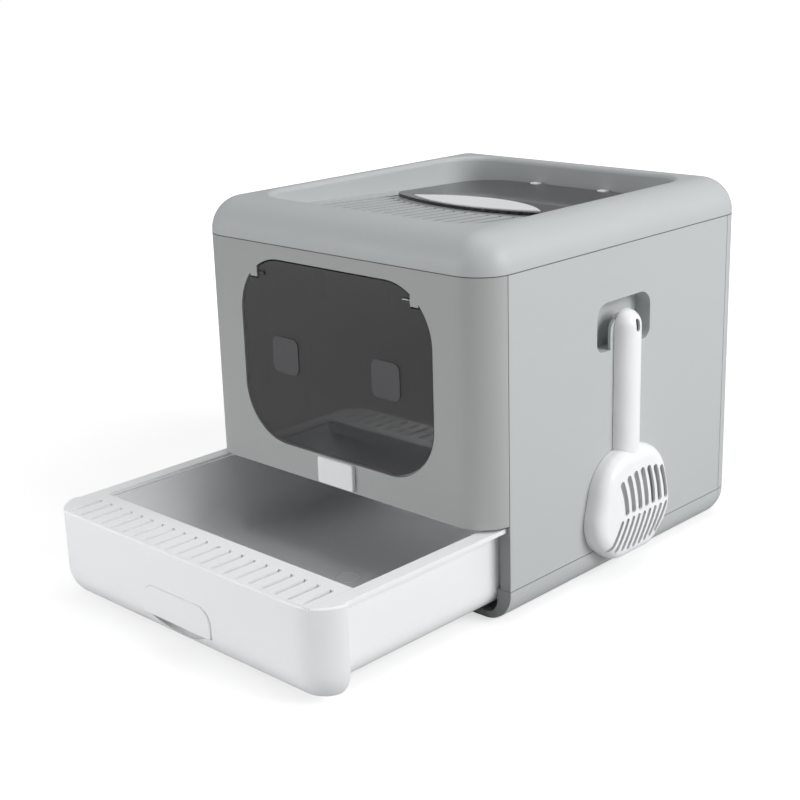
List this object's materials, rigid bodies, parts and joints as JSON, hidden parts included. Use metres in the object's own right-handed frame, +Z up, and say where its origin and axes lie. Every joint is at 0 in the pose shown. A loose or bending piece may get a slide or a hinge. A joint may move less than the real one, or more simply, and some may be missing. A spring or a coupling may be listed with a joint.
{
  "type": "drawer litter box",
  "caption": "Enclosed litter box for a cat, with a pull-out litter drawer, a swinging front door, a lid with a top flap and a scoop hung on its side.",
  "frame": {"origin": "on the floor, at the centre of the closed box's footprint", "axes": "+Z up, +Y towards the back, so the drawer and the door face -Y, and +X to the right seen from the front"},
  "size_m": [0.4204, 0.6447, 0.3834],
  "materials": {
    "grey_plastic": "fine matte grain",
    "white_plastic": "satin",
    "smoked_clear": "polished, tinted and see-through",
    "clear_plastic": "polished, clear",
    "frosted_plastic": "frosted"
  },
  "bodies": {
    "cabin": {"base_tray": "grey_plastic", "right_side_panel": "grey_plastic", "left_side_panel": "grey_plastic", "front_panel": "grey_plastic", "back_panel": "grey_plastic"},
    "door": {"front_door": "smoked_clear", "door_pins": "clear_plastic", "door_pads": "frosted_plastic"},
    "latch": {"door_latch": "white_plastic", "latch_keeper": "white_plastic"},
    "lid": {"lid": "grey_plastic", "flap_clips": "white_plastic"},
    "flap": {"top_flap": "smoked_clear", "flap_grip": "white_plastic"},
    "drawer": {"drawer_tub": "white_plastic", "drawer_tread": "white_plastic", "drawer_pull": "white_plastic"},
    "scoop": {"scoop": "white_plastic"}
  },
  "joints": [
    {"name": "drawer_slide", "type": "slide", "parent": "cabin", "child": "drawer", "axis": [0, -1, 0], "range_m": [-0.2135, 0.12]},
    {"name": "door_hinge", "type": "hinge", "parent": "cabin", "child": "door", "pos_m": [0, -0.2119, 0.314], "axis": [1, 0, 0], "range_deg": [-80, 80]},
    {"name": "latch_slide", "type": "slide", "parent": "cabin", "child": "latch", "axis": [0, 0, 1], "range_m": [0, 0.01]},
    {"name": "lid_lift", "type": "slide", "parent": "cabin", "child": "lid", "axis": [0, 0, 1], "range_m": [0, 0.15]},
    {"name": "flap_hinge", "type": "hinge", "parent": "lid", "child": "flap", "pos_m": [0, 0.165, 0.357], "axis": [-1, 0, 0], "range_deg": [0, 95]},
    {"name": "scoop_lift", "type": "slide", "parent": "cabin", "child": "scoop", "axis": [0, 0, 1], "range_m": [0, 0.0105]}
  ]
}
